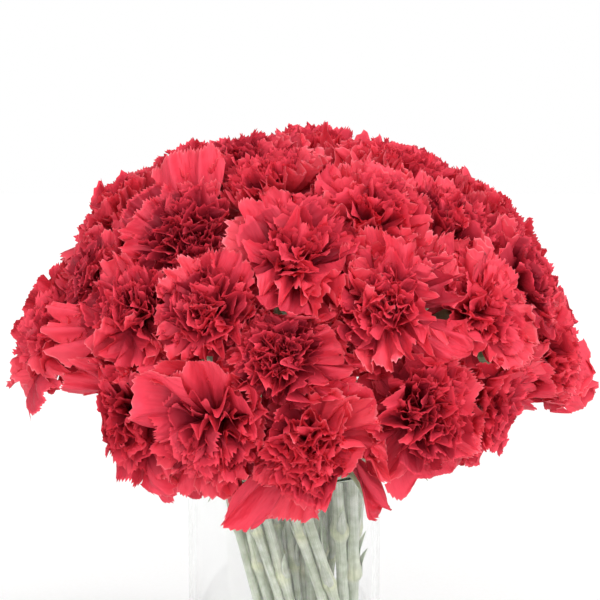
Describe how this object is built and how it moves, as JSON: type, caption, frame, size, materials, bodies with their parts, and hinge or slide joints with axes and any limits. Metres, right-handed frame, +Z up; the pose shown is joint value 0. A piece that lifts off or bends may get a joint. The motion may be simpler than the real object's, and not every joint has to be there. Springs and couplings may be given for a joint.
{
  "type": "carnations in a vase",
  "caption": "Dense domed bunch of ruffled red carnations standing in a clear glass cylinder vase of water.",
  "frame": {"origin": "centre of the vase's flat foot, on the surface that it stands on", "axes": "+Z up along the vase's axis; -Y towards the viewer of the bunch's front"},
  "size_m": [0.3224, 0.3224, 0.3907],
  "materials": {
    "vase": "clear polished glass",
    "water": "clear still water",
    "petals": "satin fresh petals",
    "stems": "fresh green stems with a pale waxy bloom"
  },
  "bodies": {
    "root": {"vase": "vase", "water": "water", "bloom_01": "petals", "bloom_02": "petals", "bloom_03": "petals", "bloom_04": "petals", "bloom_05": "petals", "bloom_06": "petals", "bloom_07": "petals", "bloom_08": "petals", "bloom_09": "petals", "bloom_10": "petals", "bloom_11": "petals", "bloom_12": "petals", "bloom_13": "petals", "bloom_14": "petals", "bloom_15": "petals", "bloom_16": "petals", "bloom_17": "petals", "bloom_18": "petals", "bloom_19": "petals", "bloom_20": "petals", "bloom_21": "petals", "bloom_22": "petals", "bloom_23": "petals", "bloom_24": "petals", "bloom_25": "petals", "bloom_26": "petals", "bloom_27": "petals", "bloom_28": "petals", "bloom_29": "petals", "bloom_30": "petals", "bloom_31": "petals", "bloom_32": "petals", "bloom_33": "petals", "bloom_34": "petals", "bloom_35": "petals", "bloom_36": "petals", "bloom_37": "petals", "bloom_38": "petals", "bloom_39": "petals", "bloom_40": "petals", "bloom_41": "petals", "bloom_42": "petals", "stems_01": "stems", "stems_02": "stems", "stems_03": "stems", "stems_04": "stems", "stems_05": "stems", "stems_06": "stems", "stems_07": "stems", "stems_08": "stems", "stems_09": "stems", "stems_10": "stems", "stems_11": "stems", "stems_12": "stems", "stems_13": "stems", "stems_14": "stems"}
  },
  "joints": []
}
